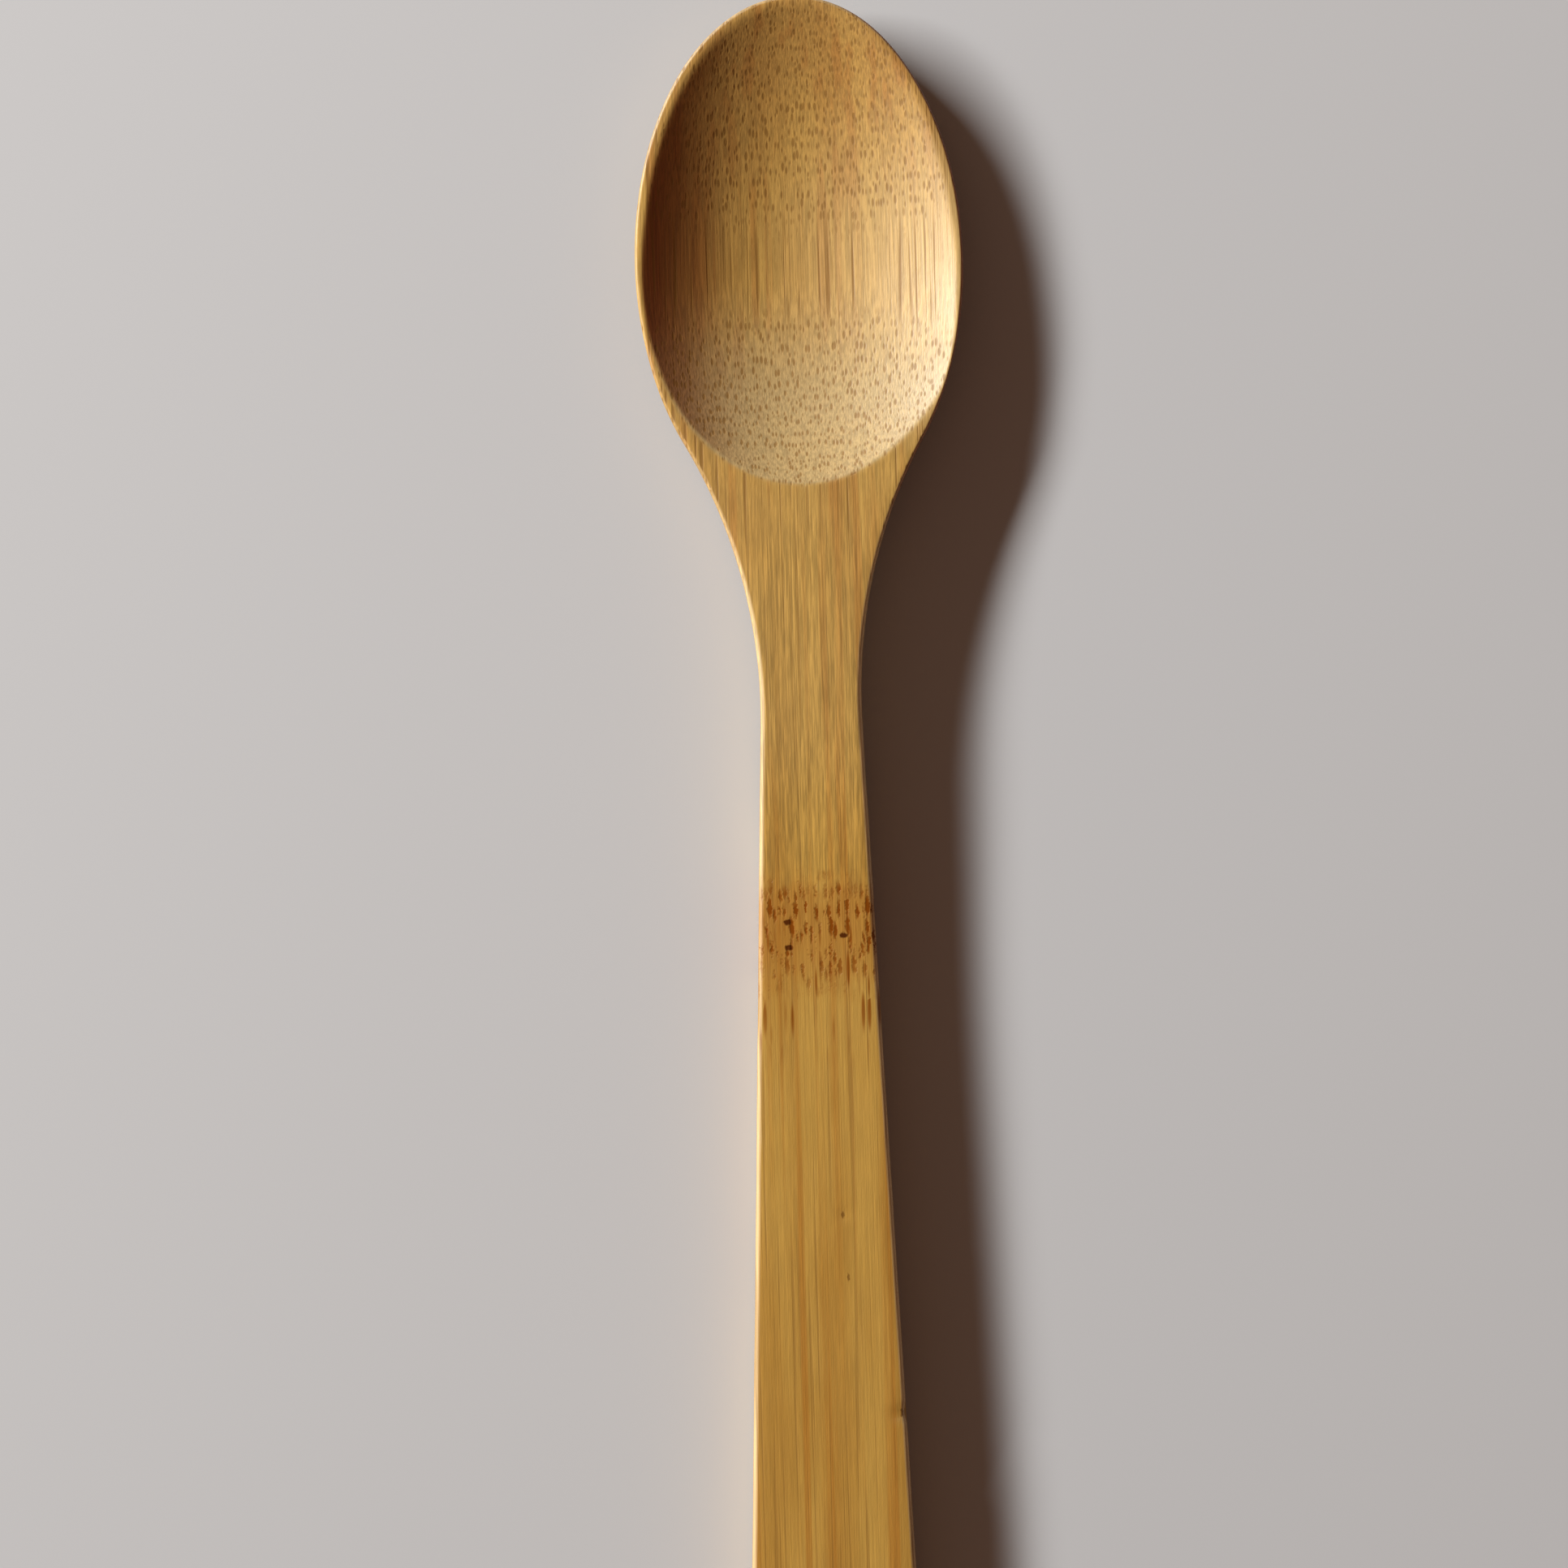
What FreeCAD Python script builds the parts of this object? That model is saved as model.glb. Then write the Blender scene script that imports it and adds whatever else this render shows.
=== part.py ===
import FreeCAD, Part

import math
import os
import re

import Sketcher
from FreeCAD import Vector

# Bamboo spoon, carved from one splint of bamboo.
#
# The spoon lies on its back along Y: the tip of the bowl points to +Y, the end of the
# handle to -Y, and the bowl opens towards +Z. X runs across. The origin is the middle of
# the footprint, on the surface that the spoon lies on. Lengths are in millimetres, and a
# name that ends in from_tip is a distance along Y, measured back from the tip.
#
# The maker saws the outline out of the splint, planes the top, rounds the back, eases the
# edges and scoops the bowl. The features below follow that order.

SPOON = "bamboo_spoon"

SIZES = {
    # Outline, seen from above
    "overall_length": 200.0,
    "bowl_half_length": 31.4,
    "bowl_half_width": 19.5,
    "neck_blend_radius": 63.6,
    "neck_from_tip": 85.0,
    "neck_half_width": 5.98,
    "end_half_width": 10.2,
    "end_bulge": 2.2,
    "end_corner_radius": 5.5,
    # Top, seen from the side: the handle's height, the rim below it and the crest above it
    "handle_height": 7.0,
    "handle_level_from_tip": 120.0,
    "rim_drop": 1.2,
    "rim_level_from_tip": 18.0,
    "crest_rise": 0.7,
    "crest_from_tip": 74.0,
    # Back, seen from the side. The flat depth is how much the ground flats take off it
    "tip_thickness": 2.1,
    "belly_front_from_tip": 24.0,
    "belly_back_from_tip": 42.0,
    "arch_height": 2.2,
    "arch_from_tip": 76.0,
    "heel_from_tip": 114.0,
    "end_rise": 0.8,
    "end_rise_length": 12.0,
    "back_flat_depth": 0.15,
    # Scoop of the bowl: the wood that it leaves at the rim, at the edge of the crowned back
    # where the bowl is widest, below its floor, and between its heel and the oval's end
    "rim_width": 0.85,
    "side_thickness": 1.6,
    "floor_thickness": 0.8,
    "heel_land": 4.8,
    # Rounding of the long edges
    "outer_edge_radius": 0.5,
}

# Formulas that several features share
BOWL_CENTRE = "overall_length / 2 - bowl_half_length"
HANDLE_FLARE = "(end_half_width - neck_half_width) / (overall_length - neck_from_tip)"
RIM_HEIGHT = "(handle_height - rim_drop)"
CREST_HEIGHT = "(handle_height + crest_rise)"
# How far each cutting shape runs past the wood
OVERRUN = "handle_height / 2"
# Radius of the two arcs that lead from the rim up to the crest
RIM_RUN, RIM_RISE = "(crest_from_tip - rim_level_from_tip)", "(rim_drop + crest_rise)"
RIM_CURVE = f"(({RIM_RUN} ^ 2 + {RIM_RISE} ^ 2) / (4 * {RIM_RISE}))"
# Height of the top where the bowl is widest, and where the scoop ends
TO_WIDEST = "(bowl_half_length - rim_level_from_tip)"
TO_HEEL = "(crest_from_tip - 2 * bowl_half_length + heel_land)"
WIDEST_HEIGHT = f"({RIM_HEIGHT} + {RIM_CURVE} - sqrt({RIM_CURVE} ^ 2 - {TO_WIDEST} ^ 2))"
HEEL_HEIGHT = f"({CREST_HEIGHT} - {RIM_CURVE} + sqrt({RIM_CURVE} ^ 2 - {TO_HEEL} ^ 2))"
# Radius of the crowned back, which rises to the side thickness below the rim
CROWN_RISE = f"({WIDEST_HEIGHT} - side_thickness + back_flat_depth)"
CROWN_CURVE = f"((bowl_half_width ^ 2 + {CROWN_RISE} ^ 2) / (2 * {CROWN_RISE}))"

# The ends and the centre of a line or an arc, and the axes, as a sketch counts them
START, FINISH, CENTRE = range(1, 4)
LEVEL_AXIS, UPRIGHT_AXIS = range(-1, -3, -1)
ORIGIN = (LEVEL_AXIS, START)


def station(from_tip):
    """Give the Y of a place from its distance behind the tip."""
    return SIZES["overall_length"] / 2 - SIZES[from_tip]


def heights():
    """Give the heights of the rim and of the crest."""
    handle = SIZES["handle_height"]
    return handle - SIZES["rim_drop"], handle + SIZES["crest_rise"]


def overrun():
    """Give how far each cutting shape runs past the wood."""
    return SIZES["handle_height"] / 2


def bound(feature, prop, formula):
    """Bind a property to a formula whose sizes are cells of the spreadsheet."""
    cells = re.compile(r"\b(" + "|".join(SIZES) + r")\b")
    feature.setExpression(prop, cells.sub(r"Sizes.\1", formula))


def make_sheet(doc):
    """Write the driving sizes into a spreadsheet, one named cell each."""
    sheet = doc.addObject("Spreadsheet::Sheet", "Sizes")
    for row, (alias, value) in enumerate(SIZES.items(), start=1):
        sheet.set(f"A{row}", alias)
        sheet.set(f"B{row}", str(value))
        sheet.setAlias(f"B{row}", alias)
    doc.recompute()


class Profile:
    """A sketch on one of the body's own planes, its dimensions bound to the sheet."""

    def __init__(self, body, name, plane):
        self.sketch = body.newObject("Sketcher::SketchObject", name)
        self.sketch.AttachmentSupport = origin_plane(body, plane)
        self.sketch.MapMode = "FlatFace"

    def rule(self, kind, *references):
        """Add a constraint without a size, such as Horizontal or Tangent."""
        self.sketch.addConstraint(Sketcher.Constraint(kind, *references))

    def join(self, *points):
        """Make each point meet the next one."""
        for one, other in zip(points, points[1:]):
            self.rule("Coincident", *one, *other)

    def size(self, kind, references, now, name, formula):
        """Add a constraint with a size, and bind it."""
        index = self.sketch.addConstraint(Sketcher.Constraint(kind, *references, now))
        self.sketch.renameConstraint(index, name)
        bound(self.sketch, f"Constraints.{name}", formula)

    def across(self, left, right, name, formula):
        """Set how far one point lies to the right of another."""
        gap = self.sketch.getPoint(*right).x - self.sketch.getPoint(*left).x
        self.size("DistanceX", (*left, *right), gap, name, formula)

    def above(self, low, high, name, formula):
        """Set how far one point lies above another."""
        gap = self.sketch.getPoint(*high).y - self.sketch.getPoint(*low).y
        self.size("DistanceY", (*low, *high), gap, name, formula)

    def mark(self, u, v):
        """Add a point that other places are measured from."""
        return self.sketch.addGeometry(Part.Point(Vector(u, v, 0)), True), START

    def path(self, *corners):
        """Add straight lines from corner to corner. Returns their ids."""
        spots = [Vector(u, v, 0) for u, v in corners]
        first = self.sketch.GeometryCount
        for one, other in zip(spots, spots[1:]):
            self.sketch.addGeometry(Part.LineSegment(one, other))
        lines = list(range(first, self.sketch.GeometryCount))
        for one, other in zip(lines, lines[1:]):
            self.join((one, FINISH), (other, START))
        return lines

    def arc(self, u, v, radius, first_angle, last_angle):
        """Add an arc about a centre, anticlockwise. Returns its id."""
        circle = Part.Circle(Vector(u, v, 0), Vector(0, 0, 1), radius)
        return self.sketch.addGeometry(Part.ArcOfCircle(circle, first_angle, last_angle))

    def level_arc(self, level, radius, turn):
        """Add an arc that is level at one place. Returns its level end and its other end.

        The turn is anticlockwise away from the level place, or clockwise if negative. The
        arc lies above the level place, or below it if the radius is negative.
        """
        base = math.copysign(math.pi / 2, -radius)
        u, v = level
        arc = self.arc(u, v + radius, abs(radius), base + min(turn, 0), base + max(turn, 0))
        near, far = (START, FINISH) if turn > 0 else (FINISH, START)
        self.rule("Vertical", arc, CENTRE, arc, near)
        return (arc, near), (arc, far)

    def swell(self, low, high):
        """Join a low place to a high one by two equal arcs, level at both places."""
        run, rise = high[0] - low[0], high[1] - low[1]
        radius = math.hypot(run, rise) ** 2 / (4 * rise)
        turn = math.copysign(2 * math.atan2(rise, abs(run)), run)
        foot, valley = self.level_arc(low, radius, turn)
        top, hill = self.level_arc(high, -radius, turn)
        self.rule("Tangent", *valley, *hill)
        self.rule("Equal", valley[0], hill[0])
        return foot, top

    def upturn(self, low, lip):
        """Curve up by one arc, from a place where it is level, to a lip."""
        run, rise = lip[0] - low[0], lip[1] - low[1]
        radius = math.hypot(run, rise) ** 2 / (2 * rise)
        turn = math.copysign(2 * math.atan2(rise, abs(run)), run)
        return self.level_arc(low, radius, turn)


class WasteProfile(Profile):
    """A side view of what is cut away along the whole spoon, above the top or below the back."""

    def __init__(self, body, name):
        super().__init__(body, name, "YZ_Plane")
        self.tip = self.mark(SIZES["overall_length"] / 2, 0)
        self.rule("Horizontal", *ORIGIN, *self.tip)
        self.across(ORIGIN, self.tip, "tip", "overall_length / 2")

    def behind_tip(self, point, name, formula):
        """Set how far a point lies behind the tip."""
        self.across(point, self.tip, name, formula)

    def level(self, one, other):
        """Join two points by a level line."""
        places = [self.sketch.getPoint(*point) for point in (one, other)]
        line, = self.path(*((place.x, place.y) for place in places))
        self.rule("Horizontal", line)
        self.join((line, START), one)
        self.join((line, FINISH), other)

    def close(self, front, back, clear_of):
        """Close the outline clear of the wood, from its end past the tip to the other one."""
        reach = SIZES["overall_length"] / 2 + overrun()
        near, far = self.sketch.getPoint(*front), self.sketch.getPoint(*back)
        corners = [(near.x, near.y), (reach, near.y), (reach, clear_of),
                   (-reach, clear_of), (-reach, far.y), (far.x, far.y)]
        lines = self.path(*corners)
        self.join((lines[0], START), front)
        self.join((lines[-1], FINISH), back)
        for number, line in enumerate(lines):
            self.rule("Vertical" if number % 2 else "Horizontal", line)
        self.across(self.tip, (lines[0], FINISH), "past_tip", OVERRUN)
        self.behind_tip((lines[-1], START), "past_end", f"overall_length + {OVERRUN}")
        return lines[2], START


def edge_near(feature, x, y, z):
    """Name the edge of a feature's shape that passes closest to a place."""
    place = Part.Vertex(x, y, z)
    gaps = [edge.distToShape(place)[0] for edge in feature.Shape.Edges]
    return f"Edge{gaps.index(min(gaps)) + 1}"


def fillet(body, name, base, edges, alias):
    """Round some edges of a feature, and whatever runs smoothly on from them."""
    rounding = body.newObject("PartDesign::Fillet", name)
    rounding.Base = (base, edges)
    bound(rounding, "Radius", alias)
    body.Document.recompute()
    return rounding


def origin_plane(body, role):
    """Find one of the body's own planes by its role, such as XY_Plane."""
    return [(next(plane for plane in body.Origin.OriginFeatures if plane.Role == role), "")]


def pad(body, profile, name):
    """Raise the sawn blank from an outline."""
    feature = body.newObject("PartDesign::Pad", name)
    feature.Profile = profile.sketch
    bound(feature, "Length", f"{CREST_HEIGHT} + {OVERRUN}")
    body.Document.recompute()
    return feature


def saw_outline(body):
    """Saw the blank: an oval for the bowl and a flaring bar for the handle, blended."""
    centre_y = station("bowl_half_length")
    half_length, half_width = SIZES["bowl_half_length"], SIZES["bowl_half_width"]
    oval = Profile(body, "bowl_outline", "XY_Plane")
    centre = Vector(0, centre_y, 0)
    heel = Vector(0, centre_y - half_length, 0)
    side = Vector(half_width, centre_y, 0)
    ring = oval.sketch.addGeometry(Part.Ellipse(heel, side, centre))
    oval.sketch.exposeInternalGeometry(ring)
    long_axis, short_axis = ring + 1, ring + 2
    oval.rule("Vertical", long_axis)
    oval.rule("PointOnObject", ring, CENTRE, UPRIGHT_AXIS)
    oval.above(ORIGIN, (ring, CENTRE), "centre", BOWL_CENTRE)
    oval.size("Distance", (long_axis,), 2 * half_length, "bowl_length", "2 * bowl_half_length")
    oval.size("Distance", (short_axis,), 2 * half_width, "bowl_width", "2 * bowl_half_width")
    pad(body, oval, "bowl_blank")

    neck_y, end_y = station("neck_from_tip"), -SIZES["overall_length"] / 2
    corner_y = end_y + SIZES["end_bulge"]
    flare = (SIZES["end_half_width"] - SIZES["neck_half_width"]) / (neck_y - end_y)
    root = SIZES["neck_half_width"] - flare * (centre_y - neck_y)
    corner = SIZES["neck_half_width"] + flare * (neck_y - corner_y)
    radius = (corner**2 + SIZES["end_bulge"] ** 2) / (2 * SIZES["end_bulge"])
    spread = math.asin(corner / radius)
    bar = Profile(body, "handle_outline", "XY_Plane")
    places = (-corner, corner_y), (-root, centre_y), (root, centre_y), (corner, corner_y)
    left, top, right = bar.path(*places)
    end = bar.arc(0, end_y + radius, radius, -math.pi / 2 - spread, -math.pi / 2 + spread)
    lowest = bar.mark(0, end_y)
    bar.join((left, START), (end, START))
    bar.join((right, FINISH), (end, FINISH))
    bar.rule("Symmetric", top, START, top, FINISH, UPRIGHT_AXIS)
    bar.rule("PointOnObject", end, CENTRE, UPRIGHT_AXIS)
    bar.rule("Horizontal", end, START, end, FINISH)
    bar.rule("PointOnObject", *lowest, UPRIGHT_AXIS)
    bar.rule("PointOnObject", *lowest, end)
    bar.above(lowest, ORIGIN, "end", "overall_length / 2")
    bar.above(lowest, (end, START), "bulge", "end_bulge")
    bar.above(ORIGIN, (top, START), "root", BOWL_CENTRE)
    bar.across((top, START), (top, FINISH), "root_width",
               f"2 * (neck_half_width - {HANDLE_FLARE} * (neck_from_tip - bowl_half_length))")
    bar.across((end, START), (end, FINISH), "corner_width",
               f"2 * (end_half_width - {HANDLE_FLARE} * end_bulge)")
    blank = pad(body, bar, "handle_blank")

    mid_height = SIZES["handle_height"] / 2
    corners = [edge_near(blank, side * corner, corner_y, mid_height) for side in (-1, 1)]
    blank = fillet(body, "end_corners", blank, corners, "end_corner_radius")
    crotch_y = centre_y - half_length * math.sqrt(1 - (root / half_width) ** 2)
    crotches = [edge_near(blank, side * root, crotch_y, mid_height) for side in (-1, 1)]
    fillet(body, "neck_blend", blank, crotches, "neck_blend_radius")


def plane_top(body):
    """Plane the top: a level rim, a low crest over the neck and a level handle."""
    waste = WasteProfile(body, "top_waste")
    rim_height, crest_height = heights()
    rim = station("rim_level_from_tip"), rim_height
    crest = station("crest_from_tip"), crest_height
    handle = station("handle_level_from_tip"), SIZES["handle_height"]
    rim_level, rim_crest = waste.swell(rim, crest)
    handle_level, handle_crest = waste.swell(handle, crest)
    waste.join(rim_crest, handle_crest)
    ceiling = waste.close(rim_level, handle_level, crest_height + 2 * overrun())
    waste.behind_tip(rim_level, "rim_level", "rim_level_from_tip")
    waste.behind_tip(rim_crest, "crest_place", "crest_from_tip")
    waste.behind_tip(handle_level, "handle_level", "handle_level_from_tip")
    waste.above(ORIGIN, rim_level, "rim", RIM_HEIGHT)
    waste.above(ORIGIN, rim_crest, "crest", CREST_HEIGHT)
    waste.above(ORIGIN, handle_level, "handle", "handle_height")
    waste.above(ORIGIN, ceiling, "ceiling", f"{CREST_HEIGHT} + 2 * {OVERRUN}")
    cut = body.newObject("PartDesign::Pocket", "planed_top")
    cut.Profile = waste.sketch
    cut.SideType = "Symmetric"
    bound(cut, "Length", f"2 * bowl_half_width + 2 * {OVERRUN}")
    body.Document.recompute()


def round_back(body):
    """Round the back: belly, arch under the neck and heel of the handle, crowned across.

    The cut turns about an axis high above the spoon, so every section of the back is an
    arc. It dips below the ground at the belly and under the handle, which leaves a narrow
    flat to rest on at both.
    """
    waste = WasteProfile(body, "back_waste")
    end_y, flat = -SIZES["overall_length"] / 2, -SIZES["back_flat_depth"]
    tip_lip = -end_y, heights()[0] - SIZES["tip_thickness"]
    end_lip = end_y, SIZES["end_rise"]
    front, back = station("belly_front_from_tip"), station("belly_back_from_tip")
    arch = station("arch_from_tip"), SIZES["arch_height"]
    heel, rise = station("heel_from_tip"), end_y + SIZES["end_rise_length"]
    belly_front, tip_edge = waste.upturn((front, flat), tip_lip)
    belly_back, arch_front = waste.swell((back, flat), arch)
    handle_heel, arch_back = waste.swell((heel, flat), arch)
    handle_end, end_edge = waste.upturn((rise, flat), end_lip)
    waste.join(arch_front, arch_back)
    waste.level(belly_front, belly_back)
    waste.level(handle_heel, handle_end)
    deep = waste.close(tip_edge, end_edge, -SIZES["bowl_half_width"])
    waste.behind_tip(belly_front, "belly_front", "belly_front_from_tip")
    waste.behind_tip(belly_back, "belly_back", "belly_back_from_tip")
    waste.behind_tip(arch_front, "arch_place", "arch_from_tip")
    waste.behind_tip(handle_heel, "heel_place", "heel_from_tip")
    waste.behind_tip(end_edge, "end", "overall_length")
    waste.across(end_edge, handle_end, "rise_length", "end_rise_length")
    waste.rule("Vertical", *waste.tip, *tip_edge)
    waste.above(belly_front, ORIGIN, "belly_flat", "back_flat_depth")
    waste.above(handle_heel, ORIGIN, "handle_flat", "back_flat_depth")
    waste.above(ORIGIN, arch_front, "arch", "arch_height")
    waste.above(ORIGIN, tip_edge, "tip_lip", f"{RIM_HEIGHT} - tip_thickness")
    waste.above(ORIGIN, end_edge, "end_lip", "end_rise")
    waste.above(deep, ORIGIN, "depth", "bowl_half_width")
    high = 2 * SIZES["bowl_half_width"]
    axis = waste.sketch.addGeometry(Part.LineSegment(Vector(0, high, 0), Vector(-end_y, high, 0)), True)
    waste.rule("Horizontal", axis)
    waste.rule("Vertical", *ORIGIN, axis, START)
    waste.rule("Vertical", *waste.tip, axis, FINISH)
    waste.above(ORIGIN, (axis, START), "crown", f"{CROWN_CURVE} - back_flat_depth")
    cut = body.newObject("PartDesign::Groove", "rounded_back")
    cut.Profile = waste.sketch
    cut.ReferenceAxis = (waste.sketch, ["Axis0"])
    cut.Angle = 360
    body.Document.recompute()
    return cut


def ease_edges(body, carved):
    """Round the long edge round the top and the one round the back."""
    centre_y, half_width = station("bowl_half_length"), SIZES["bowl_half_width"]
    rim_height, _ = heights()
    top_edge = edge_near(carved, half_width, centre_y, rim_height)
    carved = fillet(body, "top_edge", carved, [top_edge], "outer_edge_radius")
    back_edge = edge_near(carved, half_width, centre_y, rim_height - SIZES["side_thickness"])
    fillet(body, "back_edge", carved, [back_edge], "outer_edge_radius")


def scoop_bowl(body):
    """Scoop the bowl with two half balls, stretched to reach its tip and its heel.

    The knife leaves the edge of the scoop crisp.
    """
    half_width = "(bowl_half_width - rim_width)"
    depth = f"({WIDEST_HEIGHT} - floor_thickness)"
    ball = f"(({half_width} ^ 2 + {depth} ^ 2) / (2 * {depth}))"
    centre_z = f"(floor_thickness + {ball})"
    reaches = {
        "tip": ("(bowl_half_length - rim_width)", RIM_HEIGHT, 0),
        "heel": ("(bowl_half_length - heel_land)", HEEL_HEIGHT, 180),
    }
    for end, (reach, height, turn) in reaches.items():
        scoop = body.newObject("PartDesign::SubtractiveEllipsoid", f"{end}_scoop")
        scoop.AttachmentSupport = origin_plane(body, "XY_Plane")
        scoop.MapMode = "FlatFace"
        scoop.AttachmentOffset = FreeCAD.Placement(Vector(), FreeCAD.Rotation(Vector(0, 0, 1), turn))
        bound(scoop, "AttachmentOffset.Base.y", BOWL_CENTRE)
        bound(scoop, "AttachmentOffset.Base.z", centre_z)
        scoop.Angle1 = -90
        scoop.Angle2 = 0
        scoop.Angle3 = 180
        bound(scoop, "Radius1", ball)
        bound(scoop, "Radius2", ball)
        bound(scoop, "Radius3", f"{reach} / sqrt(1 - (({centre_z} - {height}) / {ball}) ^ 2)")
        body.Document.recompute()


def check(doc, body):
    """Stop if an object failed, a shape is broken or a cut took nothing away."""
    for item in doc.Objects:
        if "Invalid" in item.State or "Error" in item.State:
            raise RuntimeError(f"{item.Name} failed: {item.State}")
    if body.Shape.isNull() or not body.Shape.isValid() or len(body.Shape.Solids) != 1:
        raise RuntimeError(f"{body.Label} is not one sound solid")
    cuts = ("PartDesign::Pocket", "PartDesign::Groove", "PartDesign::SubtractiveEllipsoid")
    for feature in body.Group:
        if feature.TypeId in cuts and feature.Shape.Volume >= feature.BaseFeature.Shape.Volume:
            raise RuntimeError(f"{feature.Name} took nothing away")


def main():
    doc = FreeCAD.newDocument("spoon")
    make_sheet(doc)
    body = doc.addObject("PartDesign::Body", SPOON)
    body.Label = SPOON
    saw_outline(body)
    plane_top(body)
    carved = round_back(body)
    ease_edges(body, carved)
    scoop_bowl(body)
    doc.recompute()
    check(doc, body)
    os.makedirs("parts", exist_ok=True)
    body.Shape.exportStep(f"parts/{SPOON}.step")
    print(f"{SPOON}: {body.Shape.Volume:.1f} mm3 in {len(body.Shape.Solids)} solid")


main()
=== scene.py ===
import logging
import math
from bisect import bisect_left
from collections.abc import Callable
from dataclasses import dataclass
from enum import Enum
from functools import cached_property, partial, reduce

import bmesh
import bpy
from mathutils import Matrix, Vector, noise


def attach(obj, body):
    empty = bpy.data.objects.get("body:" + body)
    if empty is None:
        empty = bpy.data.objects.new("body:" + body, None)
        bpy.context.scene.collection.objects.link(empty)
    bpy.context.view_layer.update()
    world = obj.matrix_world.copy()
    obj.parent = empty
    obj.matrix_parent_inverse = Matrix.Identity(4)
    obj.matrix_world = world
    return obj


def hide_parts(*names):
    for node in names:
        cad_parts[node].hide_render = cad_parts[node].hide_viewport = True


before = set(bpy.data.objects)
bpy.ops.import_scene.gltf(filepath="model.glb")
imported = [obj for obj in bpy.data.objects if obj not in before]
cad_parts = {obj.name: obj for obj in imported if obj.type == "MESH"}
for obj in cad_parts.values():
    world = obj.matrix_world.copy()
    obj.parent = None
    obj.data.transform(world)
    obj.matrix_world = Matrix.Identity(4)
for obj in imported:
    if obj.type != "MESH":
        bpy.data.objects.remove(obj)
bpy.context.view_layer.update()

# Dressed model of a bamboo spoon, carved from one splint of bamboo.
#
# The spoon lies on its back along Y, tip of the bowl to +Y, bowl open to +Z. A length called
# from_tip, or t in the formulas, is measured back from the tip.
# The carved surface is drawn as rings that follow the outline of the spoon: in over the top
# and down into the bowl, and out over the side and under the back. A place is a distance from
# the tip and one to the right of the middle line. A point is a place's x and t, and a height.

MM = 0.001
# Mark of the rounded edges, which take pale wear and a painted edge highlight.
EDGE_MARK = "worn_and_highlit_edge"
STATION_MARK = "station"
BUNDLE_INPUTS = ("Spacing", "Length", "Core", "Softness", "Wander")
MIX_INPUTS, MIX_RESULT = (0, 6, 7), 2
log = logging.getLogger("spoon")

Place = Span = tuple[float, float]
Ramp = tuple[float, ...]
Mesh = bmesh.types.BMesh
Edge = bmesh.types.BMEdge
Socket = bpy.types.NodeSocket
Tree = bpy.types.NodeTree


class Face(Enum):
    """The two faces of the spoon that its rings run over."""

    TOP = "top"
    BACK = "back"


def smooth_step(low: float, high: float, value: float) -> float:
    """Give how far a value has risen, smoothly from 0 at the low end to 1 at the high end."""
    share = min(max((value - low) / (high - low), 0.0), 1.0)
    return share * share * (3.0 - 2.0 * share)


def upturn(run: float, rise: float, gone: float) -> float:
    """Climb from a level place to a lip by one arc.

    Args:
        run: Length of the climb.
        rise: Height of the climb.
        gone: How far along it to read the height.

    Returns:
        Height above the level place.
    """
    gone = min(max(gone, 0.0), run)
    radius = (run * run + rise * rise) / (2.0 * rise)
    return radius - math.sqrt(radius * radius - gone * gone)


def climb(start: float, end: float, rise: float, t: float) -> float:
    """Climb from a level place to a higher one by two equal arcs, level at both ends and beyond.

    Args:
        start: Where the climb begins.
        end: Where it ends, which may be nearer the tip.
        rise: Height of the climb.
        t: Where to read the height.

    Returns:
        Height above the lower place.
    """
    half, gone = abs(end - start) / 2.0, math.copysign(1.0, end - start) * (t - start)
    if gone < half:
        return upturn(half, rise / 2.0, gone)
    return rise - upturn(half, rise / 2.0, 2.0 * half - gone)


def show(name: str, mesh: Mesh) -> bpy.types.Object:
    """Turn a drawn mesh into an object of the scene.

    Args:
        name: Name of the object.
        mesh: The drawn mesh, which is freed.

    Returns:
        The object.
    """
    data = bpy.data.meshes.new(name)
    mesh.to_mesh(data)
    mesh.free()
    shown = bpy.data.objects.new(name, data)
    bpy.context.scene.collection.objects.link(shown)
    return shown


def arc(centre: Place, radius: float, first: float, last: float, count: int) -> list[Place]:
    """Give the places along an arc, in a number of steps from its first angle to its last."""
    angles = [first + (last - first) * step / count for step in range(count + 1)]
    return [(centre[0] + radius * math.cos(a), centre[1] + radius * math.sin(a)) for a in angles]


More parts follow.
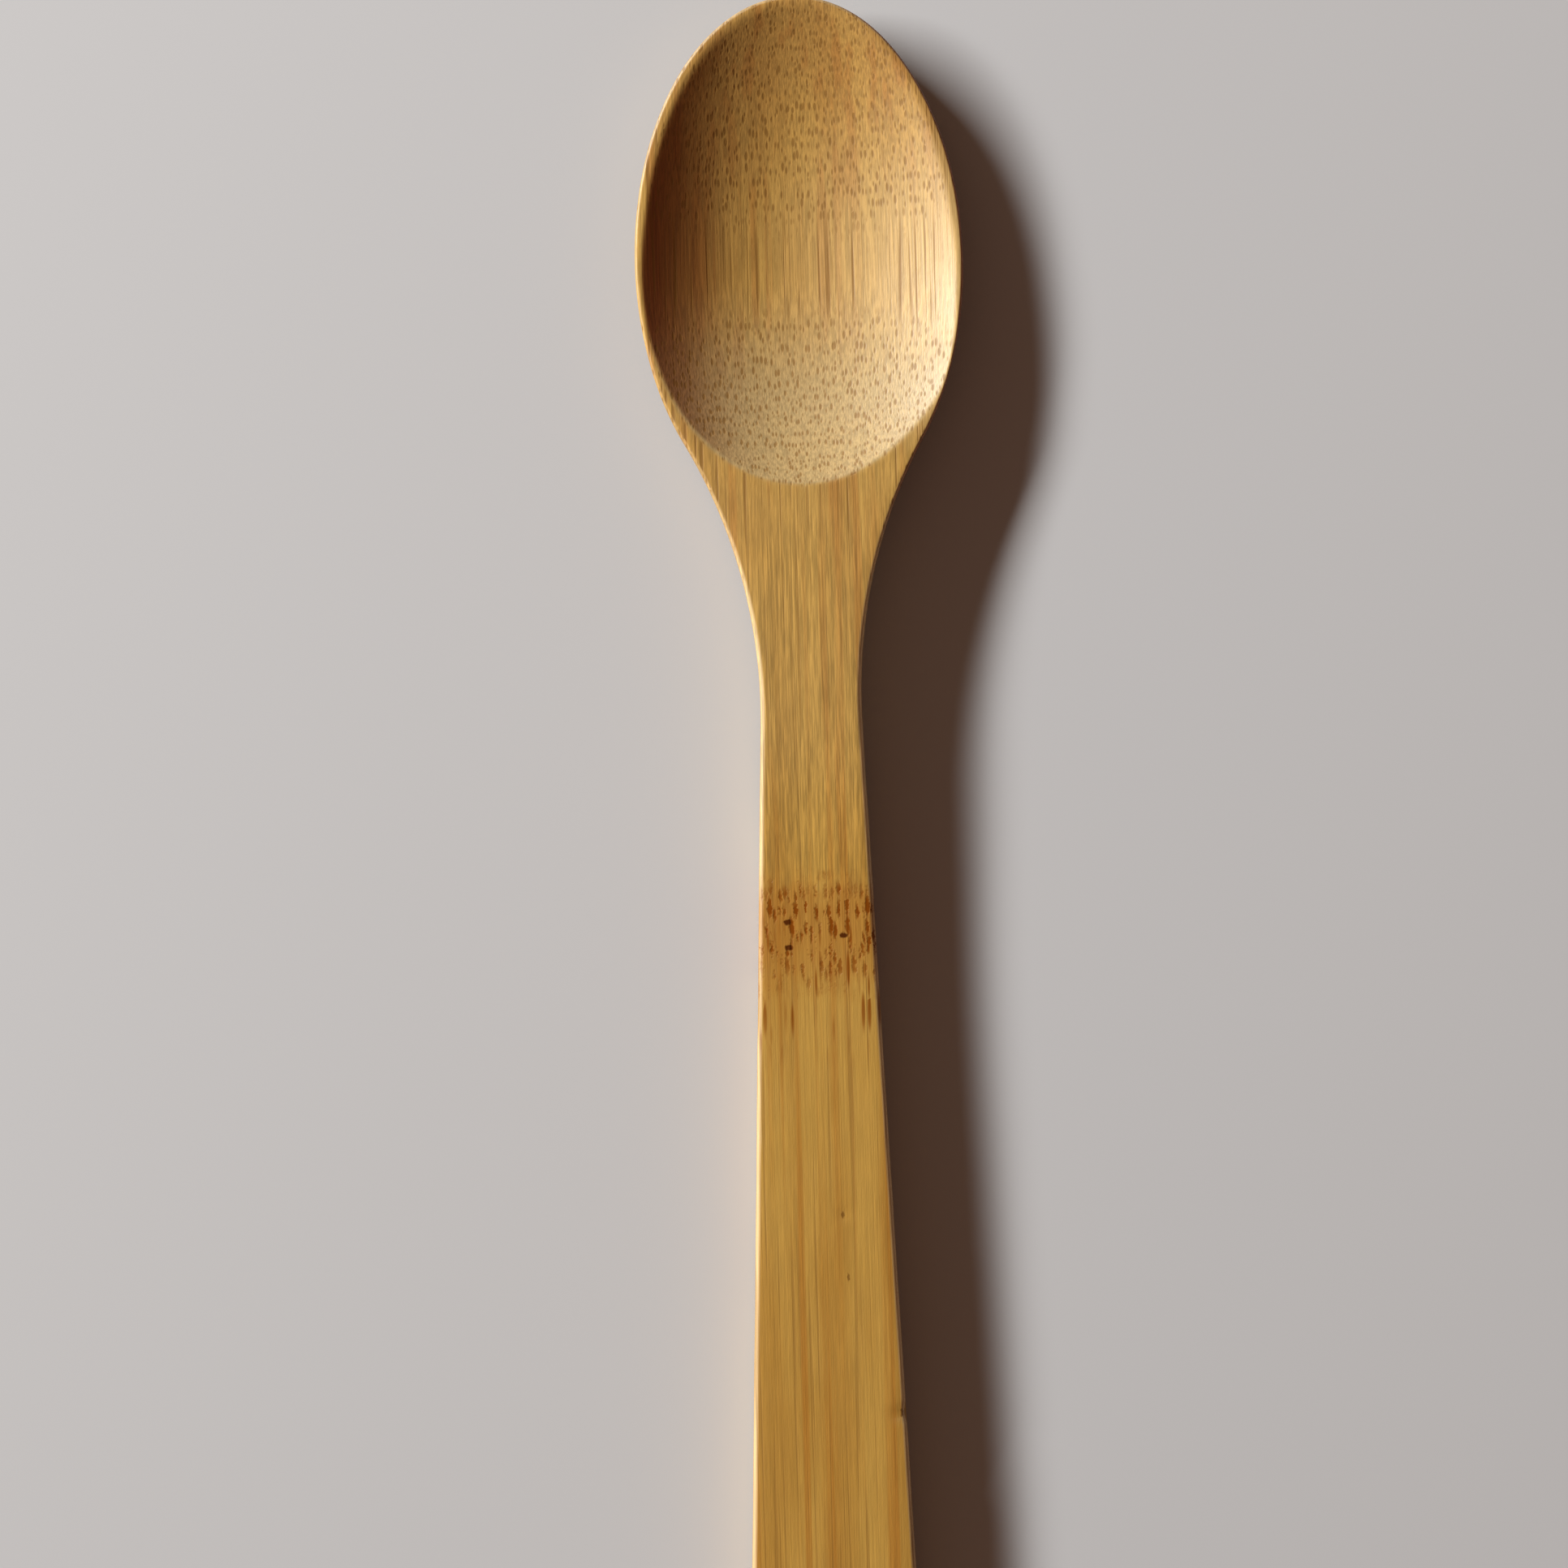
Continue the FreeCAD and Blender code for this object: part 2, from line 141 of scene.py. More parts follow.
@dataclass(frozen=True)
class Outline:
    """The sawn edge of the spoon, seen from above: oval bowl, waisted neck, flaring handle."""

    length: float = 200.0 * MM
    bowl_half_length: float = 31.4 * MM
    bowl_half_width: float = 19.5 * MM
    neck_blend_radius: float = 63.6 * MM
    neck_from_tip: float = 85.0 * MM
    neck_half_width: float = 5.98 * MM
    end_half_width: float = 10.2 * MM
    end_bulge: float = 2.2 * MM
    end_corner_radius: float = 5.5 * MM
    bowl_spacing: float = 0.55 * MM
    handle_spacing: float = 1.0 * MM
    spacing_widens: Span = (75.0 * MM, 95.0 * MM)
    spacing_narrows: Span = (182.0 * MM, 192.0 * MM)
    touch_limit: float = 0.95 * math.pi
    touch_rounds: int = 40
    oval_steps: int = 240
    blend_steps: int = 80
    end_steps: int = 40

    @property
    def flare(self) -> float:
        """Give how fast the handle widens."""
        return (self.end_half_width - self.neck_half_width) / (self.length - self.neck_from_tip)

    @property
    def steep(self) -> float:
        """Give the length of the handle's slanting side over one unit of its length."""
        return math.hypot(1.0, self.flare)

    def side(self, t: float) -> float:
        """Give the half width of the straight part of the handle."""
        return self.neck_half_width + self.flare * (t - self.neck_from_tip)

    def oval(self, angle: float) -> Place:
        """Give the point of the bowl's oval at an angle from its tip."""
        along = self.bowl_half_length * (1.0 - math.cos(angle))
        return along, self.bowl_half_width * math.sin(angle)

    def neck_blend(self) -> tuple[float, Place]:
        """Find the arc that touches the bowl's oval and the straight side of the handle.

        Returns:
            The oval's angle where it touches, and the arc's centre.
        """
        low, high = math.pi / 2.0, self.touch_limit
        for _ in range(self.touch_rounds):
            angle = (low + high) / 2.0
            t, x = self.oval(angle)
            out = Vector(((t - self.bowl_half_length) / self.bowl_half_length**2,
                          x / self.bowl_half_width**2)).normalized()
            centre = (t + self.neck_blend_radius * out.x, x + self.neck_blend_radius * out.y)
            if centre[1] - self.side(centre[0]) > self.neck_blend_radius * self.steep:
                low = angle
            else:
                high = angle
        return angle, centre

    def trace(self) -> list[Place]:
        """Trace one half of the edge closely.

        Returns:
            Its points, from the tip to the middle of the handle's end.
        """
        touch, blend = self.neck_blend()
        points = [self.oval(touch * step / self.oval_steps) for step in range(self.oval_steps)]
        t, x = self.oval(touch)
        first = math.atan2(x - blend[1], t - blend[0])
        last = math.atan2(-1.0, self.flare)
        points += arc(blend, self.neck_blend_radius, first, last, self.blend_steps)
        corner_x = self.side(self.length - self.end_bulge)
        end_radius = (corner_x**2 + self.end_bulge**2) / (2.0 * self.end_bulge)
        end_t = self.length - end_radius
        inner = self.side(0.0) - self.end_corner_radius * self.steep
        half = self.flare * inner - end_t
        rest = inner**2 + end_t**2 - (end_radius - self.end_corner_radius) ** 2
        corner_t = (math.sqrt(half**2 - self.steep**2 * rest) - half) / self.steep**2
        corner = (corner_t, inner + self.flare * corner_t)
        turn = math.atan2(corner[1], corner_t - end_t)
        points += arc(corner, self.end_corner_radius, math.atan2(1.0, -self.flare), turn, self.end_steps)
        points += arc((end_t, 0.0), end_radius, turn, 0.0, self.end_steps)[1:]
        return points

    def spacing(self, t: float) -> float:
        """Give how far apart the edge's stations lie, closer round the bowl and the end."""
        calm = smooth_step(*self.spacing_widens, t) * (1.0 - smooth_step(*self.spacing_narrows, t))
        return self.bowl_spacing + (self.handle_spacing - self.bowl_spacing) * calm

    @cached_property
    def stations(self) -> list[tuple[Place, Vector]]:
        """Space the stations along one half of the edge.

        Returns:
            The place of each station and its inward direction, from the tip to the end.
        """
        trace = self.trace()
        gone = [0.0]
        for one, other in zip(trace, trace[1:]):
            gone.append(gone[-1] + math.dist(one, other) / self.spacing(other[0]))
        count = round(gone[-1])
        ends = {0: Vector((0.0, 1.0)), count: Vector((0.0, -1.0))}
        found = []
        for number in range(count + 1):
            aim = gone[-1] * number / count
            after = min(max(bisect_left(gone, aim), 1), len(trace) - 1)
            share = (aim - gone[after - 1]) / (gone[after] - gone[after - 1])
            one, other = Vector(trace[after - 1]), Vector(trace[after])
            along = ends.get(number, (other - one).normalized())
            found.append((tuple(one.lerp(other, share)), Vector((along.y, -along.x))))
        return found


@dataclass(frozen=True)
class SideView:
    """Heights of the planed top and of the rounded back, along the middle of the spoon."""

    length: float = 200.0 * MM
    handle_height: float = 7.0 * MM
    handle_level_from_tip: float = 120.0 * MM
    rim_drop: float = 1.2 * MM
    rim_level_from_tip: float = 18.0 * MM
    crest_rise: float = 0.7 * MM
    crest_from_tip: float = 74.0 * MM
    tip_thickness: float = 2.1 * MM
    belly_front_from_tip: float = 24.0 * MM
    belly_back_from_tip: float = 42.0 * MM
    arch_height: float = 2.2 * MM
    arch_from_tip: float = 76.0 * MM
    heel_from_tip: float = 114.0 * MM
    end_rise: float = 0.8 * MM
    end_rise_length: float = 12.0 * MM
    flat_depth: float = 0.15 * MM

    def top(self, t: float) -> float:
        """Give the height of the planed top.

        Args:
            t: Distance from the tip.

        Returns:
            The height above the ground.
        """
        front = climb(self.rim_level_from_tip, self.crest_from_tip, self.rim_drop + self.crest_rise, t)
        rear = climb(self.handle_level_from_tip, self.crest_from_tip, self.crest_rise, t)
        return self.handle_height - self.rim_drop - self.crest_rise + front + rear

    def back(self, t: float) -> float:
        """Give the height of the middle line of the back.

        Args:
            t: Distance from the tip.

        Returns:
            The height above the ground, a little below it where the back is flat.
        """
        rise = self.arch_height + self.flat_depth
        lip = self.handle_height - self.rim_drop - self.tip_thickness + self.flat_depth
        height = upturn(self.belly_front_from_tip, lip, self.belly_front_from_tip - t)
        height += climb(self.belly_back_from_tip, self.arch_from_tip, rise, t)
        height += climb(self.heel_from_tip, self.arch_from_tip, rise, t) - rise
        end = t - self.length + self.end_rise_length
        height += upturn(self.end_rise_length, self.end_rise + self.flat_depth, end)
        return height - self.flat_depth


@dataclass(frozen=True)
class Scoop:
    """The hollow of the bowl: a stretched ball, carved by hand a little off the oval."""

    outline: Outline
    side_view: SideView
    rim_width: float = 0.85 * MM
    floor_thickness: float = 0.8 * MM
    heel_land: float = 4.8 * MM
    edge_softness: float = 0.2 * MM
    slip_place: float = 46.5 * MM
    slip_length: float = 6.0 * MM
    slip_share: float = 0.06
    height_outside: float = 1.0

    @property
    def half_width(self) -> float:
        """Give the half width of the hollow at the rim."""
        return self.outline.bowl_half_width - self.rim_width

    @property
    def reach(self) -> Span:
        """Give how far the hollow reaches from its middle, towards the tip and the handle."""
        middle = self.outline.bowl_half_length
        return middle - self.rim_width, middle - self.heel_land

    @cached_property
    def ball(self) -> float:
        """Give the radius of the ball across the bowl."""
        depth = self.side_view.top(self.outline.bowl_half_length) - self.floor_thickness
        return (self.half_width**2 + depth**2) / (2.0 * depth)

    @cached_property
    def stretch(self) -> Span:
        """Find the lengths that the ball is stretched to.

        Returns:
            Its half length towards the tip and its half length towards the handle.
        """
        middle = self.outline.bowl_half_length
        sizes = []
        for reach, sign in zip(self.reach, (-1.0, 1.0)):
            rim = self.side_view.top(middle + sign * reach)
            level = (self.floor_thickness + self.ball - rim) / self.ball
            sizes.append(reach / math.sqrt(1.0 - level**2))
        return sizes[0], sizes[1]

    def slip(self, x: float, t: float) -> float:
        """Give how much wider the knife left the hollow at a place, as a factor."""
        near = math.exp(-(((t - self.slip_place) / self.slip_length) ** 2))
        return 1.0 + self.slip_share * near * smooth_step(0.0, self.half_width, x)

    def height(self, x: float, t: float) -> float:
        """Give the height of the ball's surface.

        Args:
            x: Distance to the right of the middle line.
            t: Distance from the tip.

        Returns:
            The height above the ground, or a great height outside the ball.
        """
        middle = self.outline.bowl_half_length
        half_length = self.stretch[0] if t < middle else self.stretch[1]
        across = x / self.slip(x, t) / self.ball
        rest = 1.0 - across**2 - ((t - middle) / half_length) ** 2
        if rest <= 0.0:
            return self.height_outside
        return self.floor_thickness + self.ball - self.ball * math.sqrt(rest)

    def edge(self, share: float, side: float) -> Place:
        """Give the point of the hollow's edge at a share of the way from tip to heel.

        Args:
            share: From 0 at the tip, through 1 at the widest place, to 2 at the heel.
            side: 1 for the right half and -1 for the left half.

        Returns:
            The place.
        """
        angle = share * math.pi / 2.0
        reach = self.reach[0] if share < 1.0 else self.reach[1]
        t = self.outline.bowl_half_length - reach * math.cos(angle)
        x = side * self.half_width * math.sin(angle)
        return t, x * self.slip(x, t)


@dataclass(frozen=True)
class Dent:
    """A small dent: where its middle is, its half size on each axis and how deep it is."""

    middle: Vector
    half_size: tuple[float, float, float]
    depth: float

    def depth_at(self, spot: Vector) -> float:
        """Give the depth of the dent at a point."""
        away = sum((part / half) ** 2 for part, half in zip(spot - self.middle, self.half_size))
        return self.depth * math.exp(-away)


@dataclass(frozen=True)
class Wear:
    """What hand work leaves on the surface: waves, each a size and a share, and two dents."""

    height: float = 0.035 * MM
    full_from: float = 0.6 * MM
    waves: tuple[Span, ...] = ((9.0 * MM, 1.0), (4.0 * MM, 0.5))
    dimple: Dent = Dent(Vector((2.1, 144.9, 7.0)) * MM, (0.5 * MM, 0.8 * MM, math.inf), 0.12 * MM)
    nick: Dent = Dent(Vector((8.75, 168.5, 6.4)) * MM, (1.0 * MM, 0.9 * MM, 1.0 * MM), 0.3 * MM)

    def depth(self, spot: Vector) -> float:
        """Give how far the worn surface lies below the plain one.

        Args:
            spot: The point.

        Returns:
            The depth, below 0 where it stands proud.
        """
        slow = sum(share * noise.noise(spot / size) for size, share in self.waves)
        waver = self.height * slow * smooth_step(0.0, self.full_from, spot.z)
        return waver + self.nick.depth_at(spot) + self.dimple.depth_at(spot)


@dataclass
class Spoon:
    """The one piece of the object: it draws the carved surface and gives it its finish."""

    outline: Outline = Outline()
    side_view: SideView = SideView()
    wear: Wear = Wear()
    side_thickness: float = 1.6 * MM
    bowl_edge_radius: float = 0.38 * MM
    handle_edge_radius: float = 0.62 * MM
    edge_radius_grows: Span = (45.0 * MM, 85.0 * MM)
    neck_line: float = 66.0 * MM
    tip_line: float = 30.0 * MM
    tip_pull: float = 0.7
    end_line: float = 180.0 * MM
    end_pull: float = 0.62
    heel_fade: float = 18.0 * MM
    floor_pull: float = 0.35
    corner_steps: int = 5
    side_rings: int = 3
    top_rings: int = 10
    top_crowding: float = 1.7
    bowl_rings: int = 26
    bowl_crowding: float = 1.35
    back_rings: int = 12
    weld_distance: float = 0.0005 * MM
    name: str = "carved_spoon"

    @cached_property
    def scoop(self) -> Scoop:
        """Give the hollow that belongs to this outline and side view."""
        return Scoop(self.outline, self.side_view)

    @cached_property
    def crown_height(self) -> float:
        """Give how high above the ground the crowned back has its axis."""
        low = self.side_thickness - self.side_view.flat_depth
        rise = self.side_view.top(self.outline.bowl_half_length) - low
        return (self.outline.bowl_half_width**2 + rise**2) / (2.0 * rise) - self.side_view.flat_depth

    def edge_radius(self, t: float) -> float:
        """Give the rounding of the long edges, tighter round the rim of the bowl."""
        share = smooth_step(*self.edge_radius_grows, t)
        return self.bowl_edge_radius + (self.handle_edge_radius - self.bowl_edge_radius) * share

    def height(self, face: Face, x: float, t: float) -> float:
        """Give the height of the top or of the back at a place.

        Args:
            face: Which of the two.
            x: Distance to the right of the middle line.
            t: Distance from the tip.

        Returns:
            The height above the ground.
        """
        if face is Face.BACK:
            below = self.crown_height - self.side_view.back(t)
            return max(self.crown_height - math.sqrt(below**2 - x**2), 0.0)
        plane = self.side_view.top(t)
        hollow = self.scoop.height(x, t)
        soft = self.scoop.edge_softness
        near = max(soft - abs(plane - hollow), 0.0)
        return min(plane, hollow) - near**2 / (4.0 * soft)

    @cached_property
    def stations(self) -> list[tuple[float, float, Vector, float]]:
        """Give t, x, inward direction and side, 1 or -1, of each station round the whole edge."""
        right = [(t, x, inward, 1.0) for (t, x), inward in self.outline.stations]
        return right + [(t, -x, inward, -1.0) for t, x, inward, _ in right[-2:0:-1]]

    def corner(self, face: Face, station: int, step: float) -> Vector:
        """Give a point of the rounded edge between the side and a face.

        Args:
            face: The face that the rounding leads to.
            station: Number of the place along the edge.
            step: From 0 at the side to 1 at the face.

        Returns:
            The point.
        """
        t, x, inward, side = self.stations[station]
        radius = self.edge_radius(t)
        angle = step * math.pi / 2.0
        t += inward.x * radius * (1.0 - math.cos(angle))
        x += inward.y * radius * (1.0 - math.cos(angle)) * side
        drop = radius * (1.0 - math.sin(angle))
        level = self.height(face, x, t)
        return Vector((x, t, level - drop if face is Face.TOP else level + drop))

    def target(self, face: Face, station: int) -> Place:
        """Give the place that a station's rings close in on.

        Round the bowl it lies on the edge of the hollow, and elsewhere on the middle line.

        Args:
            face: The face that the rings cross.
            station: Number of the place along the edge.

        Returns:
            The place.
        """
        t, _, _, side = self.stations[station]
        end = self.end_line + (t - self.end_line) * self.end_pull if t > self.end_line else t
        if face is Face.BACK:
            tip = self.tip_line - (self.tip_line - t) * self.tip_pull
            return (tip if t < self.tip_line else end), 0.0
        middle, line = self.outline.bowl_half_length, self.neck_line
        if t < middle:
            return self.scoop.edge(math.acos(1.0 - t / middle) * 2.0 / math.pi, side)
        if t < line:
            return self.scoop.edge(1.0 + (t - middle) / (line - middle), side)
        heel = middle + self.scoop.reach[1]
        return end - (line - heel) * math.exp((line - t) / self.heel_fade), 0.0

    def across(self, face: Face, station: int, share: float) -> Vector:
        """Give a point of a face on the way to its target, closer together near the hollow.

        Args:
            face: Which of the two.
            station: Number of the place along the edge.
            share: From 0 at the edge rounding to 1 at the target.

        Returns:
            The point.
        """
        if face is Face.TOP:
            share = 1.0 - (1.0 - share) ** self.top_crowding
        start = self.corner(face, station, 1.0)
        t, x = self.target(face, station)
        x = start.x + (x - start.x) * share
        t = start.y + (t - start.y) * share
        return Vector((x, t, self.height(face, x, t)))

    def down_side(self, station: int, share: float) -> Vector:
        """Give a point of the upright side, from the top edge down to the back edge."""
        high, low = self.corner(Face.TOP, station, 0.0), self.corner(Face.BACK, station, 0.0)
        return high.lerp(low, share)

    def into_hollow(self, station: int, share: float) -> Vector:
        """Give a point in the hollow, on the way to its floor line.

        Args:
            station: Number of the place along the edge.
            share: From 0 at the edge of the hollow to 1 at the floor line.

        Returns:
            The point.
        """
        share **= self.bowl_crowding
        t, x = self.target(Face.TOP, station)
        middle = self.outline.bowl_half_length
        x *= 1.0 - share
        t += (middle + (t - middle) * self.floor_pull - t) * share
        return Vector((x, t, self.height(Face.TOP, x, t)))

    def carve(self) -> Mesh:
        """Draw the carved surface as rings that grow out of each other.

        Returns:
            The closed mesh, its Y still the distance from the tip.
        """
        mesh = bmesh.new()
        bmesh.ops.create_circle(mesh, segments=len(self.stations), radius=1.0)
        label = mesh.verts.layers.int.new(STATION_MARK)
        mesh.verts.layers.float.new(EDGE_MARK)
        mesh.verts.ensure_lookup_table()
        for number, vert in enumerate(mesh.verts):
            vert[label] = number
            vert.co = self.corner(Face.TOP, number, 0.0)
        rim = list(mesh.edges)
        ring = self.grow(mesh, rim, partial(self.corner, Face.TOP), self.corner_steps, True)
        self.grow(mesh, ring, partial(self.across, Face.TOP), self.top_rings)
        ring = self.grow(mesh, rim, self.down_side, self.side_rings)
        ring = self.grow(mesh, ring, partial(self.corner, Face.BACK), self.corner_steps, True)
        self.grow(mesh, ring, partial(self.across, Face.BACK), self.back_rings)
        bmesh.ops.remove_doubles(mesh, verts=mesh.verts, dist=self.weld_distance)
        lip = [edge for edge in mesh.edges if edge.is_boundary]
        self.grow(mesh, lip, self.into_hollow, self.bowl_rings)
        bmesh.ops.remove_doubles(mesh, verts=mesh.verts, dist=self.weld_distance)
        return mesh

    def grow(self, mesh: Mesh, edges: list[Edge], place: Callable[[int, float], Vector],
             count: int, rounding: bool = False) -> list[Edge]:
        """Extrude a ring of edges again and again, and put each new ring in its place.

        Args:
            mesh: The mesh that grows.
            edges: The ring to start from.
            place: Gives a point from a station's number and a share of the way, up to 1.
            count: Number of new rings.
            rounding: Whether the rings run over a rounded edge, which hands have worn; its mark also
                takes a painted edge highlight.

        Returns:
            The edges of the last ring.
        """
        label = mesh.verts.layers.int[STATION_MARK]
        pale_wear_and_highlight = mesh.verts.layers.float[EDGE_MARK]
        for step in range(1, count + 1):
            made = bmesh.ops.extrude_edge_only(mesh, edges=edges)["geom"]
            verts = [item for item in made if isinstance(item, bmesh.types.BMVert)]
            for vert in verts:
                vert.co = place(vert[label], step / count)
                # The edge mark: where the pale wear and the painted edge highlight go.
                vert[pale_wear_and_highlight] = math.sin(math.pi * step / count) if rounding else 0.0
            fresh = set(verts)
            edges = [item for item in made if isinstance(item, Edge)
                     and item.verts[0] in fresh and item.verts[1] in fresh]
        return edges

    def build(self, material: bpy.types.Material) -> None:
        """Carve the spoon and wear it a little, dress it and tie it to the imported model.

        Args:
            material: What it is made of.
        """
        mesh = self.carve()
        mesh.normal_update()
        for vert in mesh.verts:
            x, t, z = vert.co - vert.normal * self.wear.depth(vert.co)
            vert.co = Vector((x, self.outline.length / 2.0 - t, max(z, 0.0)))
        bmesh.ops.recalc_face_normals(mesh, faces=mesh.faces)
        for surface in mesh.faces:
            surface.smooth = True
        open_edges = sum(edge.is_boundary for edge in mesh.edges)
        log.info("%s: %d faces, %d open edges", self.name, len(mesh.faces), open_edges)
        piece = show(self.name, mesh)
        piece.data.materials.append(material)
        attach(piece, "root")
        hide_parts("bamboo_spoon")


@dataclass(frozen=True)
class Colour:
    """A colour as it is seen, its parts from 0 to 255."""

    red: float
    green: float
    blue: float

    @property
    def linear(self) -> tuple[float, float, float, float]:
        """Give the colour as light, for a shader."""
        parts = [part / 255.0 for part in (self.red, self.green, self.blue)]
        light = [p / 12.92 if p <= 0.04045 else ((p + 0.055) / 1.055) ** 2.4 for p in parts]
        return *light, 1.0


@dataclass
class Graph:
    """A node tree with short ways to add its nodes and join them."""

    tree: Tree

    def add(self, kind: str, sockets: dict | None = None, **settings: object) -> bpy.types.Node:
        """Add a node.

        Args:
            kind: Its type, as Blender names it, without the word ShaderNode.
            sockets: A value or another node's socket for each input, by name or number.
            settings: Values of the node's own settings.

        Returns:
            The node.
        """
        node = self.tree.nodes.new("ShaderNode" + kind)
        for key, value in settings.items():
            setattr(node, key, value)
        for key, value in (sockets or {}).items():
            if isinstance(value, Socket):
                self.tree.links.new(value, node.inputs[key])
            else:
                node.inputs[key].default_value = value
        return node

    def maths(self, operation: str, *values: object) -> Socket:
        """Work on numbers, and give the result's socket."""
        return self.add("Math", dict(enumerate(values)), operation=operation).outputs[0]

    def times(self, *values: object) -> Socket:
        """Multiply numbers, and give the product's socket."""
        return reduce(partial(self.maths, "MULTIPLY"), values)

    def most(self, *values: object) -> Socket:
        """Give the socket of the largest of some numbers."""
        return reduce(partial(self.maths, "MAXIMUM"), values)

    def vector(self, operation: str, *values: object) -> Socket:
        """Work on vectors, and give the result's socket."""
        return self.add("VectorMath", dict(enumerate(values)), operation=operation).outputs[0]

    def ramp(self, value: object, ramp: Ramp) -> Socket:
        """Map a number smoothly by a ramp, and give the result's socket."""
        ends = dict(zip(("From Min", "From Max", "To Min", "To Max"), ramp))
        return self.add("MapRange", {"Value": value, **ends}, interpolation_type="SMOOTHSTEP").outputs[0]

    def mix(self, share: object, one: object, other: object, blend: str = "MIX") -> Socket:
        """Mix two colours, and give the result's socket."""
        sockets = dict(zip(MIX_INPUTS, (share, one, other)))
        return self.add("Mix", sockets, data_type="RGBA", blend_type=blend).outputs[MIX_RESULT]

    def noise(self, vector: object, size: float, detail: float = 2.0) -> Socket:
        """Add noise whose features have a given size, and give its value's socket."""
        sockets = {"Vector": vector, "Scale": 1.0 / size, "Detail": detail}
        return self.add("TexNoise", sockets).outputs["Fac"]

    def stir(self, vector: object, size: float, reach: object) -> Socket:
        """Make a small uneven shift.

        Args:
            vector: The place.
            size: Size of the unevenness.
            reach: How far apart the greatest shifts lie on each axis.

        Returns:
            The shift's socket.
        """
        even = self.add("TexNoise", {"Vector": vector, "Scale": 1.0 / size, "Detail": 1.0})
        shift = self.vector("SUBTRACT", even.outputs["Color"], (0.5, 0.5, 0.5))
        return self.vector("MULTIPLY", shift, reach)


class EffectGroup(Graph):
    """A shader node group with named inputs and outputs, made once."""

    def __init__(self, name: str, vectors: tuple[str, ...], numbers: tuple[str, ...],
                 results: tuple[str, ...]) -> None:
        """Make the group's tree and its sockets.

        Args:
            name: Name of the group.
            vectors: Names of the inputs that are vectors.
            numbers: Names of the inputs that are numbers.
            results: Names of the outputs, which are numbers.
        """
        super().__init__(bpy.data.node_groups.new(name, "ShaderNodeTree"))
        for labels, way, kind in ((vectors, "INPUT", "Vector"), (numbers, "INPUT", "Float"),
                                  (results, "OUTPUT", "Float")):
            for label in labels:
                self.tree.interface.new_socket(label, in_out=way, socket_type="NodeSocket" + kind)
        self.given = self.tree.nodes.new("NodeGroupInput").outputs
        self.result = self.tree.nodes.new("NodeGroupOutput").inputs

    def put_out(self, **sockets: Socket) -> None:
        """Join the results to the group's outputs."""
        for label, socket in sockets.items():
            self.tree.links.new(socket, self.result[label])


def fibre_bundles() -> Tree:
    """Make the effect of bamboo's fibre bundles, as long threads that run along the piece.

    Where a surface runs along the threads it shows them as streaks, and where it cuts across
    them as dashes and dots.

    Returns:
        The group: Thread is 1 on a thread, Tone a number of each thread's own.
    """
    sway_rate = (90.0, 25.0, 90.0)
    scatter = 0.75
    thickness = (0.0, 1.0, 0.7, 1.3)
    soft_edge = (-0.5, 0.5)
    graph = EffectGroup("fibre bundles", ("Vector",), BUNDLE_INPUTS, ("Thread", "Tone"))
    given = graph.given
    wander = graph.add("CombineXYZ", {0: given["Wander"], 1: 0.0, 2: given["Wander"]}).outputs[0]
    sway = graph.stir(graph.vector("MULTIPLY", given["Vector"], sway_rate), 1.0, wander)
    place = graph.vector("ADD", given["Vector"], sway)
    wide = graph.maths("DIVIDE", 1.0, given["Spacing"])
    long = graph.maths("DIVIDE", wide, given["Length"])
    scale = graph.add("CombineXYZ", {0: wide, 1: long, 2: wide}).outputs[0]
    cells = graph.add("TexVoronoi", {"Vector": graph.vector("MULTIPLY", place, scale),
                                     "Scale": 1.0, "Randomness": scatter})
    tones = graph.add("SeparateColor", {0: cells.outputs["Color"]}).outputs
    edge = graph.times(given["Core"], graph.ramp(tones[1], thickness))
    inside = graph.maths("SUBTRACT", edge, cells.outputs["Distance"])
    thread = graph.ramp(graph.maths("DIVIDE", inside, given["Softness"]), soft_edge)
    graph.put_out(Thread=thread, Tone=tones[0])
    return graph.tree


def pit_mark() -> Tree:
    """Make the effect of one small oval pit, seen from above.

    Returns:
        The group: Pit is 1 inside it and 0 outside.
    """
    uneven_rate = 2600.0
    uneven_reach = (0.0004, 0.0004, 0.0)
    rim = (1.15, 0.6)
    graph = EffectGroup("pit", ("Vector", "Place", "Size"), (), ("Pit",))
    given = graph.given
    shift = graph.stir(given["Vector"], 1.0 / uneven_rate, uneven_reach)
    away = graph.vector("SUBTRACT", graph.vector("ADD", given["Vector"], shift), given["Place"])
    sized = graph.vector("DIVIDE", away, given["Size"])
    far = graph.add("VectorMath", {0: sized}, operation="LENGTH").outputs["Value"]
    graph.put_out(Pit=graph.ramp(far, rim))
    return graph.tree


@dataclass(frozen=True)
class Grain:
    """Noise drawn out along the spoon: squash is the share of a length that it sees."""

    size: float
    squash: float
    ramp: Ramp = ()
    detail: float = 2.0
    upright: float = 1.0


@dataclass(frozen=True)
class Bundles:
    """Fibre bundles: length, core and softness count in spacings, and tones says which show."""

    spacing: float
    length: float
    core: float
    softness: float
    wander: float
    tones: Ramp = (-1.0, 0.0)


